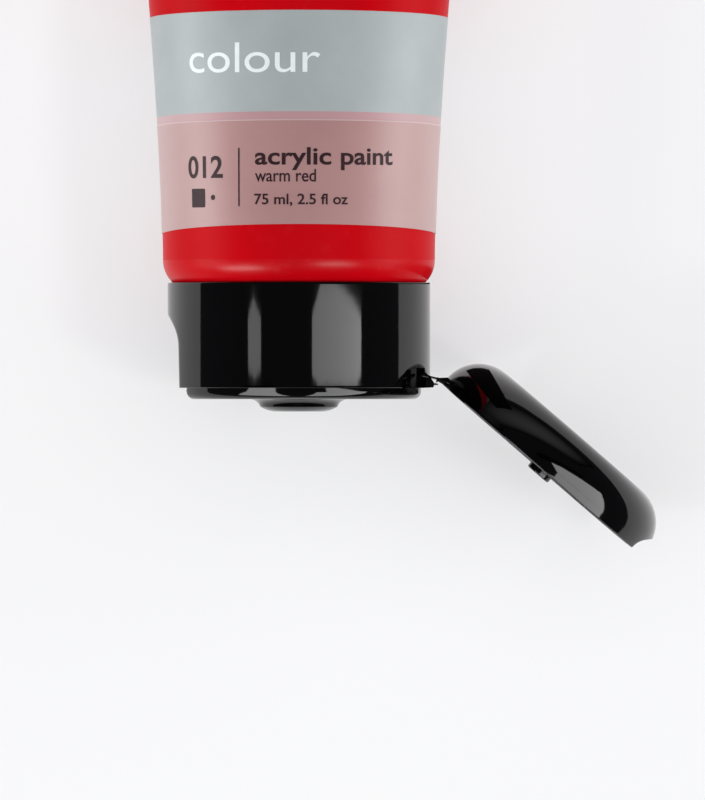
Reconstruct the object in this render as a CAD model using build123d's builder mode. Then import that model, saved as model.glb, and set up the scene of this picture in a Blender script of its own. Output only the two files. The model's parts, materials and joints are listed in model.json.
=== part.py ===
from build123d import *
import os

# Flip-top squeeze tube for artists' paint, 75 ml, in millimetres.
# The cap's axis is the Y axis: the nozzle points to -Y and the sealed tail lies at +Y.
# The origin is the centre of the nozzle's mouth. +Z is up, and the tube lies on its back.
# The lid is drawn open, as far as open_angle from closed, on a hinge line parallel to Z.

# ---- driving dimensions: sleeve -------------------------------------------------------
sleeve_radius = 17.5
sleeve_wall = 0.5
sleeve_start = 19.5
sleeve_length = 112.0
taper_power = 1.89
seal_half_thickness = 0.45
seal_length = 6.5
tail_lift = 2.5
stations = 9
inner_taper_share = 0.95
paint_taper_share = 0.9

# ---- driving dimensions: print and label ----------------------------------------------
film_thickness = 0.1
label_start = 22.9
band_start = 38.0
band_end = 50.7

# ---- driving dimensions: shoulder and neck --------------------------------------------
corner_radius = 4.0
shoulder_wall = 1.1
neck_radius = 8.4
neck_bore_radius = 6.4
neck_end = 4.6
neck_root = 14.3
thread_pitch = 3.0
thread_height = 0.8
thread_turns = 1.5
cap_thread_turns = 1.0
thread_start = 6.6
thread_base = 1.4
thread_tip = 0.7
thread_bite = 0.25
thread_clearance = 0.15

# ---- driving dimensions: paint --------------------------------------------------------
paint_gap = 0.1
paint_column_start = 8.2

# ---- driving dimensions: cap ----------------------------------------------------------
cap_radius = 16.9
skirt_inner_radius = 14.9
skirt_rim = 16.6
seat = 3.05
collar_radius = 15.75
collar_face = 1.6
collar_edge = 1.0
nozzle_base_radius = 6.15
nozzle_flare = (5.15, 1.14)
nozzle_cone_end = (4.5, 0.36)
nozzle_lip_radius = 3.3
orifice_radius = 2.7
barrel_wall = 1.25
barrel_end = 13.6
web_count = 8
web_thickness = 1.0
web_end = 12.0
web_turn = 22.5
rim_land = 0.4
rim_chamfer = 1.8

# ---- driving dimensions: plug seal between cap and neck -------------------------------
seal_gap = 0.1
seal_bore_radius = 5.0
seal_plug_end = 7.5
seal_flange_radius = 8.3
seal_lead_in = 0.5

# ---- driving dimensions: thumb recess -------------------------------------------------
recess_top = 12.45
recess_bend = 8.6
recess_floor = 15.45
recess_floor_at_seat = 15.33
recess_curve = (15.8, 10.925)
collar_flat = 14.4
lid_recess_at_seat = 15.3
lid_recess_lip = 2.8
lid_recess_curve = (15.65, 1.6)

# ---- driving dimensions: hinge --------------------------------------------------------
open_angle = 139.2
hinge_x = 17.55
hinge_y = 3.54
lug_half_width = 4.8
pocket_half_width = 10.4
pocket_top = 5.6
film_radius = 0.15
film_clearance = 0.01
strap_inner = 5.6
strap_width = 3.2
strap_thickness = 0.3
strap_root_height = 4.9
strap_bend = (16.4, 4.8)
strap_tip = (17.0, 4.55)
lid_strap_root = (16.2, 0.7)
lid_strap_tip = (0.25, 0.05)
lid_strap_end = (0.45, 0.3)
lid_strap_root_top = 1.1
block_depth = 0.6
block_slope_start = (16.8, 4.6)
block_foot = 0.3
block_gap = 0.05
lid_block_toe = (0.2, 0.4)
lid_block_top = 1.2

# ---- driving dimensions: lid and its catch --------------------------------------------
lid_height = 6.7
lid_edge_radius = 5.4
lid_wall = 1.0
lid_top_wall = 1.2
lid_gap = 0.05
plug_fit = 0.1
plug_seat_depth = 0.4
plug_tip_radius = 1.7
plug_reach = 0.7
plug_boss_radius = 3.3
ring_inner_radius = 6.6
ring_wall = 0.8
ring_gap = 0.2
bead_height = 2.7
bead_half = 0.15
bead_rise = 0.09
bead_half_length = 3.5
scoop_wall_reach = 2.2
scoop_wall_flat = 14.55
plug_boss_gap = 0.3
plug_taper = 1.0
plug_tip_edge = 0.3

os.makedirs("parts", exist_ok=True)

# ---- frames and derived places --------------------------------------------------------
tail = sleeve_start + sleeve_length
closed_centre = Vector(0, seat, 0)
hinge_point = Vector(hinge_x, hinge_y, 0)
open_centre = hinge_point + (closed_centre - hinge_point).rotate(Axis.Z, open_angle)
towards_hinge = Vector(1, 0, 0).rotate(Axis.Z, open_angle)
# On lid_plane, x runs from the lid's centre to its hinge and y from the seat outwards.
lid_plane = Plane(origin=open_centre, x_dir=towards_hinge, z_dir=(0, 0, -1))
lid_axis = Axis(lid_plane.origin, lid_plane.y_dir)


def across(y):
    """A plane square to the tube at height y, with its own x and y along X and Z."""
    return Plane.XZ.offset(-y)


def half_depth(t):
    """Half the sleeve's depth at fraction t of its length, from round to flat."""
    return seal_half_thickness + (sleeve_radius - seal_half_thickness) * (1 - t ** taper_power)


def half_width(depth):
    """The ellipse's other half axis, so that the sleeve keeps its perimeter."""
    low = sleeve_radius
    high = 1.6 * sleeve_radius
    for _ in range(50):
        width = (low + high) / 2
        root = ((3 * width + depth) * (width + 3 * depth)) ** 0.5
        if 3 * (width + depth) - root < 2 * sleeve_radius:
            low = width
        else:
            high = width
    return width


def sleeve_centre(t):
    """Height of the section's centre: the underside lies flat, and the tail lifts a little."""
    return half_depth(t) - sleeve_radius + tail_lift * t ** 4


def sleeve_form(grow, last=1.0):
    """The sleeve's outer form, moved outwards by grow, as far as fraction last."""
    with BuildPart(mode=Mode.PRIVATE) as form:
        for i in range(stations):
            t = last * i / (stations - 1)
            depth = half_depth(t)
            section = across(sleeve_start + t * sleeve_length)
            with BuildSketch(section):
                with Locations((0, sleeve_centre(t))):
                    Ellipse(half_width(depth) + grow, depth + grow)
        loft()
    return form.part


def thread(radius, side, start_y, turns):
    """One helical tooth on a wall of that radius; side is 1 to point outwards, -1 inwards."""
    path = Helix(thread_pitch, thread_pitch * turns, radius, center=(0, start_y, 0), direction=(0, 1, 0))
    start = path @ 0
    outwards = (start - Vector(0, start.Y, 0)).normalized()
    with BuildPart(mode=Mode.PRIVATE) as tooth:
        with BuildLine(mode=Mode.PRIVATE) as line:
            add(path)
        with BuildSketch(Plane(origin=start, x_dir=outwards, z_dir=path % 0)):
            with BuildLine():
                Polyline(
                    (-side * thread_bite, -thread_base / 2),
                    (side * thread_height, -thread_tip / 2),
                    (side * thread_height, thread_tip / 2),
                    (-side * thread_bite, thread_base / 2),
                    close=True,
                )
            make_face()
        sweep(path=line.line, is_frenet=True)
    return tooth.part


# ---- sleeve: extruded plastic wall, round at the shoulder and welded flat at the tail --
outer_form = sleeve_form(0)
inner_form = sleeve_form(-sleeve_wall, last=inner_taper_share)

with BuildPart() as sleeve:
    add(outer_form)
    add(inner_form, mode=Mode.SUBTRACT)
    seal_centre = sleeve_centre(1.0)
    with BuildSketch(across(tail)):
        with Locations((0, seal_centre)):
            Rectangle(2 * half_width(seal_half_thickness), 2 * seal_half_thickness)
    extrude(amount=-seal_length)

# ---- printed grey band and colour label: thin skins on the sleeve ---------------------
film_form = sleeve_form(film_thickness)


def skin(y_low, y_high):
    """A thin skin on the sleeve between two heights."""
    reach = 4 * sleeve_radius
    with BuildPart(mode=Mode.PRIVATE) as ring:
        add(film_form)
        with BuildSketch(across(y_low)):
            Rectangle(reach, reach)
        extrude(amount=-(y_high - y_low), mode=Mode.INTERSECT)
        add(outer_form, mode=Mode.SUBTRACT)
    return ring.part


with BuildPart() as colour_label:
    add(skin(label_start, band_start))

with BuildPart() as grey_band:
    add(skin(band_start, band_end))

# ---- shoulder and neck: one moulding with a helical thread ----------------------------
shoulder_flat = sleeve_start - corner_radius
inner_corner = corner_radius - shoulder_wall
corner_x = sleeve_radius - corner_radius

with BuildPart() as shoulder:
    with BuildSketch(Plane.XY):
        with BuildLine():
            Polyline(
                (neck_bore_radius, neck_end),
                (neck_radius, neck_end),
                (neck_radius, neck_root),
                (corner_x, shoulder_flat),
            )
            CenterArc((corner_x, sleeve_start), corner_radius, -90, 90)
            Line((sleeve_radius, sleeve_start), (sleeve_radius - shoulder_wall, sleeve_start))
            CenterArc((corner_x, sleeve_start), inner_corner, -90, 90)
            Polyline(
                (corner_x, shoulder_flat + shoulder_wall),
                (neck_bore_radius, neck_root + shoulder_wall),
                (neck_bore_radius, neck_end),
            )
        make_face()
    revolve(axis=Axis.Y)
    add(thread(neck_radius, 1, thread_start, thread_turns))

# ---- paint: what fills the sleeve and the neck ----------------------------------------
with BuildPart() as paint_fill:
    add(sleeve_form(-sleeve_wall - paint_gap, last=paint_taper_share))
    with BuildSketch(across(paint_column_start)):
        Circle(neck_bore_radius - paint_gap)
    extrude(amount=-(sleeve_start - paint_column_start + 1))

# ---- plug seal: a ring that sits in the neck's mouth ----------------------------------
with BuildPart() as plug_seal:
    with BuildSketch(Plane.XY):
        with BuildLine():
            Polyline(
                (seal_bore_radius, seat + seal_gap),
                (seal_flange_radius, seat + seal_gap),
                (seal_flange_radius, neck_end - seal_gap),
                (neck_bore_radius - seal_gap, neck_end - seal_gap),
                (neck_bore_radius - seal_gap, seal_plug_end - seal_lead_in),
                (neck_bore_radius - seal_lead_in, seal_plug_end),
                (seal_bore_radius, seal_plug_end),
                close=True,
            )
        make_face()
    revolve(axis=Axis.Y)

# ---- cap skirt: outer wall with the thumb recess and the two hinge pockets ------------
with BuildPart() as cap_skirt:
    with BuildSketch(Plane.XY):
        with BuildLine():
            Polyline(
                (skirt_inner_radius, seat),
                (cap_radius, seat),
                (cap_radius, skirt_rim),
                (cap_radius - rim_land, skirt_rim),
                (skirt_inner_radius, skirt_rim - rim_chamfer),
                close=True,
            )
        make_face()
    revolve(axis=Axis.Y)
    # thumb recess, opposite the hinge
    with BuildSketch(Plane.XY):
        with BuildLine():
            Line((-cap_radius - 1, seat - 1), (-recess_floor_at_seat, seat - 1))
            Line((-recess_floor_at_seat, seat - 1), (-recess_floor, recess_bend))
            ThreePointArc(
                (-recess_floor, recess_bend),
                (-recess_curve[0], recess_curve[1]),
                (-cap_radius, recess_top),
            )
            Line((-cap_radius, recess_top), (-cap_radius - 1, recess_top))
            Line((-cap_radius - 1, recess_top), (-cap_radius - 1, seat - 1))
        make_face()
    extrude(amount=cap_radius, both=True, mode=Mode.SUBTRACT)
    # pockets beside the hinge, for the straps
    with BuildSketch(Plane.YZ):
        for side in (-1, 1):
            with Locations(((seat + pocket_top) / 2, side * (lug_half_width + pocket_half_width) / 2)):
                Rectangle(pocket_top - seat, pocket_half_width - lug_half_width)
    extrude(amount=cap_radius + 1, mode=Mode.SUBTRACT)
    with BuildSketch(across(seat)):
        Circle(collar_radius)
        Circle(skirt_inner_radius, mode=Mode.SUBTRACT)
    extrude(amount=-(pocket_top - seat))

# ---- cap deck: the plate inside the lid, with a rounded edge --------------------------
with BuildPart() as cap_deck:
    with BuildSketch(Plane.XY):
        with BuildLine():
            Line((nozzle_base_radius, collar_face), (collar_radius - collar_edge, collar_face))
            CenterArc(
                (collar_radius - collar_edge, collar_face + collar_edge), collar_edge, -90, 90
            )
            Polyline(
                (collar_radius, collar_face + collar_edge),
                (collar_radius, seat),
                (nozzle_base_radius, seat),
                (nozzle_base_radius, collar_face),
            )
        make_face()
    revolve(axis=Axis.Y)
    with BuildSketch(Plane.XY):
        with Locations((-collar_flat - collar_edge, seat)):
            Rectangle(2 * collar_edge, 2 * seat)
    extrude(amount=cap_radius, both=True, mode=Mode.SUBTRACT)

# ---- nozzle: a flare, a steep cone and a broad lip round the paint's orifice ----------
with BuildPart() as nozzle:
    with BuildSketch(Plane.XY):
        with BuildLine():
            Polyline(
                (nozzle_base_radius, seat),
                (nozzle_base_radius, collar_face),
                nozzle_flare,
                nozzle_cone_end,
                (nozzle_lip_radius, 0),
                (orifice_radius, 0),
                (orifice_radius, seat),
                close=True,
            )
        make_face()
    revolve(axis=Axis.Y)

# ---- threaded barrel: the cap's inner sleeve, which screws on the neck ----------------
barrel_radius = neck_radius + thread_height + thread_clearance
barrel_outer = barrel_radius + barrel_wall

with BuildPart() as threaded_barrel:
    with BuildSketch(across(seat)):
        Circle(barrel_outer)
        Circle(barrel_radius, mode=Mode.SUBTRACT)
    extrude(amount=-(barrel_end - seat))
    add(thread(barrel_radius, -1, thread_start + thread_pitch / 2, cap_thread_turns))

# ---- webs between the barrel and the skirt --------------------------------------------
with BuildPart() as cap_webs:
    with BuildSketch(across(seat)):
        with PolarLocations((barrel_outer + skirt_inner_radius) / 2, web_count, web_turn):
            Rectangle(skirt_inner_radius, web_thickness)
        Circle(skirt_inner_radius, mode=Mode.INTERSECT)
        Circle(barrel_outer, mode=Mode.SUBTRACT)
    extrude(amount=-(web_end - seat))

# ---- hinge block on the cap, ending at the film ---------------------------------------
with BuildPart() as cap_hinge_block:
    with BuildSketch(Plane.XY):
        with BuildLine():
            Polyline(
                (cap_radius - block_depth, pocket_top - block_depth),
                block_slope_start,
                (hinge_x - film_radius, hinge_y + film_radius),
                (hinge_x - film_radius, hinge_y - film_radius),
                (hinge_x - block_foot, seat + block_gap),
                (cap_radius - block_depth, seat + block_gap),
                close=True,
            )
        make_face()
    extrude(amount=lug_half_width, both=True)
    add(cap_skirt.part, mode=Mode.SUBTRACT)

# ---- hinge film: the thin line that the lid swings on ---------------------------------
with BuildPart() as hinge_film:
    with BuildSketch(Plane.XY):
        with Locations((hinge_x, hinge_y)):
            Circle(film_radius - film_clearance)
    extrude(amount=lug_half_width, both=True)

# ---- strap tabs on the cap: roots of the two straps that snap the lid over ------------
with BuildPart() as cap_strap_tabs:
    for side in (-1, 1):
        with BuildSketch(Plane.XY.offset(side * (strap_inner + strap_width / 2))):
            with BuildLine():
                Polyline(
                    (collar_radius, strap_root_height),
                    strap_bend,
                    strap_tip,
                    (strap_tip[0], strap_tip[1] - strap_thickness),
                    (strap_bend[0], strap_bend[1] - strap_thickness),
                    (collar_radius, strap_root_height - strap_thickness),
                    close=True,
                )
            make_face()
        extrude(amount=strap_width / 2, both=True)
    add(cap_skirt.part, mode=Mode.SUBTRACT)

# ---- catch bead: the low bar that the lid clicks over ---------------------------------
with BuildPart() as catch_bead:
    with BuildSketch(Plane.XY):
        with BuildLine():
            Polyline(
                (-collar_flat, bead_height + bead_half),
                (-collar_flat - bead_rise, bead_height),
                (-collar_flat, bead_height - bead_half),
                close=True,
            )
        make_face()
    extrude(amount=bead_half_length, both=True)

# ---- lid shell: shallow round cap with a thumb scoop ----------------------------------
lid_inner = cap_radius - lid_wall
lid_corner = cap_radius - lid_edge_radius
lid_ceiling = lid_height - lid_top_wall
lid_inner_edge = lid_edge_radius - lid_wall

with BuildPart() as lid_shell:
    with BuildSketch(lid_plane):
        with BuildLine():
            Line((cap_radius, lid_gap), (cap_radius, lid_height - lid_edge_radius))
            CenterArc((lid_corner, lid_height - lid_edge_radius), lid_edge_radius, 0, 90)
            Polyline((lid_corner, lid_height), (0, lid_height), (0, lid_ceiling))
            Line((0, lid_ceiling), (lid_inner - lid_inner_edge, lid_ceiling))
            CenterArc(
                (lid_inner - lid_inner_edge, lid_ceiling - lid_inner_edge), lid_inner_edge, 0, 90
            )
            Polyline(
                (lid_inner, lid_ceiling - lid_inner_edge), (lid_inner, lid_gap), (cap_radius, lid_gap)
            )
        make_face()
    revolve(axis=lid_axis)
    # the wall is thicker behind the thumb scoop
    with BuildSketch(Plane(lid_plane.origin, towards_hinge, lid_plane.y_dir).offset(lid_gap)):
        Circle(lid_inner + lid_wall / 2)
        with Locations((-scoop_wall_flat - lid_inner, 0)):
            Rectangle(2 * lid_inner, 2 * lid_inner, mode=Mode.INTERSECT)
    extrude(amount=lid_height - lid_edge_radius + scoop_wall_reach)
    with BuildSketch(lid_plane):
        with BuildLine():
            Line((-cap_radius - 1, -1), (-lid_recess_at_seat, -1))
            Line((-lid_recess_at_seat, -1), (-lid_recess_at_seat, lid_gap))
            ThreePointArc(
                (-lid_recess_at_seat, lid_gap),
                (-lid_recess_curve[0], lid_recess_curve[1]),
                (-cap_radius, lid_recess_lip),
            )
            Line((-cap_radius, lid_recess_lip), (-cap_radius - 1, lid_recess_lip))
            Line((-cap_radius - 1, lid_recess_lip), (-cap_radius - 1, -1))
        make_face()
    extrude(amount=cap_radius, both=True, mode=Mode.SUBTRACT)

# ---- lid plug: closes the orifice -----------------------------------------------------
plug_radius = orifice_radius - plug_fit
with BuildPart() as lid_plug:
    with BuildSketch(lid_plane):
        with BuildLine():
            Polyline(
                (0, lid_ceiling),
                (plug_boss_radius, lid_ceiling),
                (plug_boss_radius, seat + plug_boss_gap),
                (plug_radius, seat + plug_boss_gap),
                (plug_radius, seat - plug_seat_depth),
                (plug_tip_radius, seat - plug_seat_depth - plug_taper),
                (plug_tip_radius, -plug_reach + plug_tip_edge),
                (plug_tip_radius - plug_tip_edge, -plug_reach),
                (0, -plug_reach),
                close=True,
            )
        make_face()
    revolve(axis=lid_axis)

# ---- seal ring round the plug ---------------------------------------------------------
with BuildPart() as lid_ring:
    with BuildSketch(Plane(lid_plane.origin, towards_hinge, lid_plane.y_dir).offset(lid_ceiling)):
        Circle(ring_inner_radius + ring_wall)
        Circle(ring_inner_radius, mode=Mode.SUBTRACT)
    extrude(amount=-(lid_ceiling - (seat - collar_face) - ring_gap))

# ---- hinge block on the lid -----------------------------------------------------------
with BuildPart() as lid_hinge_block:
    with BuildSketch(lid_plane):
        with BuildLine():
            Polyline(
                (cap_radius, 2 * block_gap),
                (hinge_x - block_gap, 0),
                (hinge_x + block_gap, seat - hinge_y + film_radius + block_gap),
                (hinge_x + lid_strap_tip[0], 0),
                (hinge_x + lid_block_toe[0], lid_block_toe[1]),
                (cap_radius, lid_block_top),
                close=True,
            )
        make_face()
    extrude(amount=lug_half_width, both=True)
    add(lid_shell.part, mode=Mode.SUBTRACT)

# ---- strap tabs on the lid ------------------------------------------------------------
with BuildPart() as lid_strap_tabs:
    for side in (-1, 1):
        with BuildSketch(lid_plane.offset(side * (strap_inner + strap_width / 2))):
            with BuildLine():
                Polyline(
                    lid_strap_root,
                    (hinge_x + lid_strap_tip[0], lid_strap_tip[1]),
                    (hinge_x + lid_strap_end[0], lid_strap_end[1]),
                    (lid_strap_root[0], lid_strap_root_top),
                    close=True,
                )
            make_face()
        extrude(amount=strap_width / 2, both=True)
    add(lid_shell.part, mode=Mode.SUBTRACT)

# ---- write each piece -----------------------------------------------------------------
pieces = {
    "sleeve": sleeve,
    "colour_label": colour_label,
    "grey_band": grey_band,
    "shoulder": shoulder,
    "paint_fill": paint_fill,
    "plug_seal": plug_seal,
    "cap_skirt": cap_skirt,
    "cap_deck": cap_deck,
    "nozzle": nozzle,
    "threaded_barrel": threaded_barrel,
    "cap_webs": cap_webs,
    "cap_hinge_block": cap_hinge_block,
    "hinge_film": hinge_film,
    "cap_strap_tabs": cap_strap_tabs,
    "catch_bead": catch_bead,
    "lid_shell": lid_shell,
    "lid_plug": lid_plug,
    "lid_ring": lid_ring,
    "lid_hinge_block": lid_hinge_block,
    "lid_strap_tabs": lid_strap_tabs,
}
for name, piece in pieces.items():
    piece.part.label = name
    export_step(piece.part, f"parts/{name}.step")
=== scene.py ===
import json
import math
import bmesh
import bpy
import numpy as np
from mathutils import Matrix, Vector

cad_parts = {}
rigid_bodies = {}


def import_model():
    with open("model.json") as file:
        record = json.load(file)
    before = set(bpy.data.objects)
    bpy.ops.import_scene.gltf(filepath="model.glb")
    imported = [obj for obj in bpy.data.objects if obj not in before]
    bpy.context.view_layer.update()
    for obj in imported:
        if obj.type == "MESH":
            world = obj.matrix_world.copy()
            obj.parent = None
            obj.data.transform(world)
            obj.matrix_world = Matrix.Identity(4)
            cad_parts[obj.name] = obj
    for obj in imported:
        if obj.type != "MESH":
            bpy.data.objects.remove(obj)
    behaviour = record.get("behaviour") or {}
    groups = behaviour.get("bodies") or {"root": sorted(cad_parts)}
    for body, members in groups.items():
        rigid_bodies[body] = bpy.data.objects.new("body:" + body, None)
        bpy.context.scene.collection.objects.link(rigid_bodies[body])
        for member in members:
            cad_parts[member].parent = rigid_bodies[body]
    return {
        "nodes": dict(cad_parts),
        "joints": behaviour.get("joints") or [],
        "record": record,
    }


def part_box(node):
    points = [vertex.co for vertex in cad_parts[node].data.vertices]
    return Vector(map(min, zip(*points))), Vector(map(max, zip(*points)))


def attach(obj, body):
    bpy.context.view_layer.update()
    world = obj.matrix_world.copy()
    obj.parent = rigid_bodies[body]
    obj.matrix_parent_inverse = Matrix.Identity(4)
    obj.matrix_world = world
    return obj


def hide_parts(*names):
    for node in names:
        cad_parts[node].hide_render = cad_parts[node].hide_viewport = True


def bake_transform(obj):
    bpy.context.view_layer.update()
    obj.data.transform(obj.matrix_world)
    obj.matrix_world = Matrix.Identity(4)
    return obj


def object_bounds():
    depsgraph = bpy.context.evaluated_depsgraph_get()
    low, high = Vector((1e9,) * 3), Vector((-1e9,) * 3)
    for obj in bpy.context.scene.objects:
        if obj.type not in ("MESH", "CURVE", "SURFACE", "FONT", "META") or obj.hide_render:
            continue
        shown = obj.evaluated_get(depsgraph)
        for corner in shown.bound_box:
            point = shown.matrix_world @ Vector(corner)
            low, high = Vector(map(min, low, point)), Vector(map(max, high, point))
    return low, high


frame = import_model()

# Looks of a flip-top tube of artists' paint. The cap's axis is Y, the nozzle points to -Y,
# the tail lies at +Y, and Z is up. Shapes are worked out in millimetres and stored in metres.
MM = 0.001
cad_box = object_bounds()


def corners_mm(node):
    """Lowest and highest corner of a CAD node, in millimetres."""
    low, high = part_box(node)
    return Vector(low) / MM, Vector(high) / MM


# ---- sizes read from the frame --------------------------------------------------------
sleeve_low, sleeve_high = corners_mm("sleeve")
skirt_low, skirt_high = corners_mm("cap_skirt")
deck_low, deck_high = corners_mm("cap_deck")
nozzle_low, nozzle_high = corners_mm("nozzle")
label_start, label_end = (corner.y for corner in corners_mm("colour_label"))
band_end = corners_mm("grey_band")[1].y

sleeve_start = sleeve_low.y
sleeve_end = sleeve_high.y
cap_radius = skirt_high.z
seat = skirt_low.y
skirt_rim = skirt_high.y
collar_radius = deck_high.z
collar_face = deck_low.y
nozzle_base = nozzle_high.z
floor_height = cad_box[0][2] / MM

lid_joint = next(j for j in frame["joints"] if j["name"] == "lid_hinge")
hinge = np.array(lid_joint["pos_m"]) / MM
open_turn = math.radians(-lid_joint["range_deg"][0])
orifice = next(m for m in frame["record"]["mounts"] if m["name"] == "orifice")
orifice_radius = orifice["dims"]["r_mm"]

# ---- the sleeve's own sizes, as in the CAD model ---------------------------------------
SLEEVE_RADIUS = 17.5
SEAL_LENGTH = 6.5
SEAL_HALF = 0.45
TAPER_POWER = 1.89
TAIL_LIFT = 2.5
CORNER_RADIUS = 4.0
WALL = 0.5
SWELL = 0.22
taper_end = sleeve_end - SEAL_LENGTH

# ---- the neck and its thread ------------------------------------------------------------
NECK_RADIUS = 8.4
NECK_BORE = 6.4
NECK_END = 4.6
NECK_ROOT = 14.3
SHOULDER_WALL = 1.1
THREAD_START = 6.6
THREAD_END = 11.1
THREAD_PITCH = 3.0
THREAD_HEIGHT = 0.8
THREAD_BASE = 1.4
THREAD_TIP = 0.7

# Printed edges: height on the top line, and how far the edge drops at the sides.
GREY_HIGH = (band_end + 0.66, 0.74)
GREY_LOW = (label_end + 0.37, 0.64)
FILM_EDGE = (label_end - 0.65, 0.46)
PINK_LOW = (label_start + 1.06, 1.19)

# Height of each layer over the plastic.
SKIN_LIFT = 0.05
FILM_LIFT = 0.04
ON_GREY = 0.055
ON_PINK = 0.095


# ---- grids and meshes -----------------------------------------------------------------
def shell(name, points, loop_rows, body, finish, replaces=(), sharp=32):
    """A mesh from a grid of points in mm, (rows, columns, 3); the columns close into rings.
    loop_rows closes the rows too. Rows that shrink to a point or a line are merged shut."""
    rows, columns, _ = points.shape
    index = np.arange(rows * columns).reshape(rows, columns)
    along = np.roll(index, -1, axis=0) if loop_rows else index[1:]
    start = index if loop_rows else index[:-1]
    quads = np.stack([start, np.roll(start, -1, 1), np.roll(along, -1, 1), along], axis=-1)
    mesh = bpy.data.meshes.new(name)
    mesh.from_pydata((points.reshape(-1, 3) * MM).tolist(), [], quads.reshape(-1, 4).tolist())
    return close_up(name, mesh, body, finish, replaces, sharp)


def close_up(name, mesh, body, finish, replaces=(), sharp=32):
    """Merge doubles, turn the faces outwards, smooth them, and put the piece on its body."""
    work = bmesh.new()
    work.from_mesh(mesh)
    bmesh.ops.remove_doubles(work, verts=work.verts, dist=2e-7)
    bmesh.ops.dissolve_degenerate(work, edges=work.edges, dist=1e-8)
    bmesh.ops.recalc_face_normals(work, faces=work.faces)
    if work.calc_volume(signed=True) < 0:
        bmesh.ops.reverse_faces(work, faces=work.faces)
    work.to_mesh(mesh)
    work.free()
    mesh.shade_smooth()
    mesh.set_sharp_from_angle(angle=math.radians(sharp))
    mesh.materials.append(finish)
    piece = bpy.data.objects.new(name, mesh)
    bpy.context.scene.collection.objects.link(piece)
    if body:
        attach(piece, body)
    if replaces:
        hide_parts(*replaces)
    return piece


def outline(corners, step=0.4):
    """A path through corners (r, h, fillet radius): straight runs, and an arc at each
    corner with a radius. The arc's centre lies on the corner's bisector."""
    spots = []
    count = len(corners)
    for i, (r, h, fillet) in enumerate(corners):
        here = np.array([r, h], float)
        if fillet == 0 or i in (0, count - 1):
            spots.append(here[None])
            continue
        before = np.array(corners[i - 1][:2], float) - here
        after = np.array(corners[i + 1][:2], float) - here
        before /= np.linalg.norm(before)
        after /= np.linalg.norm(after)
        half = math.acos(np.clip(before @ after, -1, 1)) / 2
        bisector = (before + after) / np.linalg.norm(before + after)
        centre = here + bisector * fillet / math.sin(half)
        start = here + before * fillet / math.tan(half) - centre
        end = here + after * fillet / math.tan(half) - centre
        sweep = math.pi - 2 * half
        steps = max(5, int(fillet * sweep / step) + 1)
        t = np.linspace(0, 1, steps + 1)[:, None]
        turn = (np.sin((1 - t) * sweep) * start + np.sin(t * sweep) * end) / math.sin(sweep)
        spots.append(centre + turn)
    path = np.concatenate(spots)
    pieces = []
    for a, b in zip(path[:-1], path[1:]):
        steps = max(1, int(np.linalg.norm(b - a) / step))
        t = np.linspace(0, 1, steps, endpoint=False)[:, None]
        pieces.append(a + (b - a) * t)
    pieces.append(path[-1:])
    return np.concatenate(pieces)


def closed_outline(corners, step=0.4):
    """The same for a loop: it starts and ends in the middle of its last side."""
    first = np.array(corners[0][:2], float)
    last = np.array(corners[-1][:2], float)
    middle = tuple((first + last) / 2)
    loop = outline([(*middle, 0), *corners, (*middle, 0)], step)
    return loop[:-1]


def even_angles(rows, columns=240):
    """The same evenly spaced angles for each row."""
    return np.tile(np.linspace(0, 2 * math.pi, columns, endpoint=False), (rows, 1))


def spread_angles(marks, counts):
    """Angles for each row between that row's marks, with the given count in each gap."""
    gaps = []
    for k, count in enumerate(counts):
        t = np.linspace(0, 1, count, endpoint=False)[None]
        gaps.append(marks[:, k : k + 1] + (marks[:, k + 1 : k + 2] - marks[:, k : k + 1]) * t)
    return np.concatenate(gaps, axis=1)


def cap_place(x, h, z):
    """Cap and tube: the axis is Y itself."""
    return np.stack([x, h, z], axis=-1)


def lid_place(x, h, z):
    """Lid as it lies open: x runs to the hinge and h outwards from its rim. The shut lid,
    whose rim lies at the seat, is turned about the hinge by the opening angle."""
    dx = x - hinge[0]
    dy = seat - h - hinge[1]
    cos, sin = math.cos(open_turn), math.sin(open_turn)
    return np.stack([hinge[0] + dx * cos - dy * sin, hinge[1] + dx * sin + dy * cos, z], axis=-1)


def turned(profile, place, angles=None, rule=None):
    """A profile (r, h) carried round the axis: x = r cos a, z = r sin a. rule may move r."""
    if angles is None:
        angles = even_angles(len(profile))
    r = np.repeat(profile[:, :1], angles.shape[1], axis=1)
    h = np.repeat(profile[:, 1:], angles.shape[1], axis=1)
    if rule is not None:
        r = rule(r, h, angles)
    return place(r * np.cos(angles), h, r * np.sin(angles))


def soft_min(a, b, width):
    """The smaller of two values, rounded where they cross over that width."""
    share = np.clip(0.5 + 0.5 * (b - a) / width, 0, 1)
    return b + (a - b) * share - width * share * (1 - share)


# ---- node recipes ---------------------------------------------------------------------
class Wire:
    """A value in a material. Arithmetic on it adds Math nodes."""

    def __init__(self, recipe, socket):
        self.recipe = recipe
        self.socket = socket

    def calc(self, operation, *values):
        made = self.recipe.node("ShaderNodeMath", {"operation": operation}, dict(enumerate(values)))
        return Wire(self.recipe, made.outputs[0])

    def __add__(self, other):
        return self.calc("ADD", self, other)

    def __radd__(self, other):
        return self.calc("ADD", other, self)

    def __sub__(self, other):
        return self.calc("SUBTRACT", self, other)

    def __rsub__(self, other):
        return self.calc("SUBTRACT", other, self)

    def __mul__(self, other):
        return self.calc("MULTIPLY", self, other)

    def __rmul__(self, other):
        return self.calc("MULTIPLY", other, self)

    def power(self, exponent):
        return self.calc("POWER", self, exponent)

    def clamped(self):
        return self.calc("MINIMUM", self.calc("MAXIMUM", self, 0.0), 1.0)

    def between(self, low, high):
        """0 below low and 1 above high, and straight in between."""
        return ((self - low) * (1.0 / (high - low))).clamped()


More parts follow.
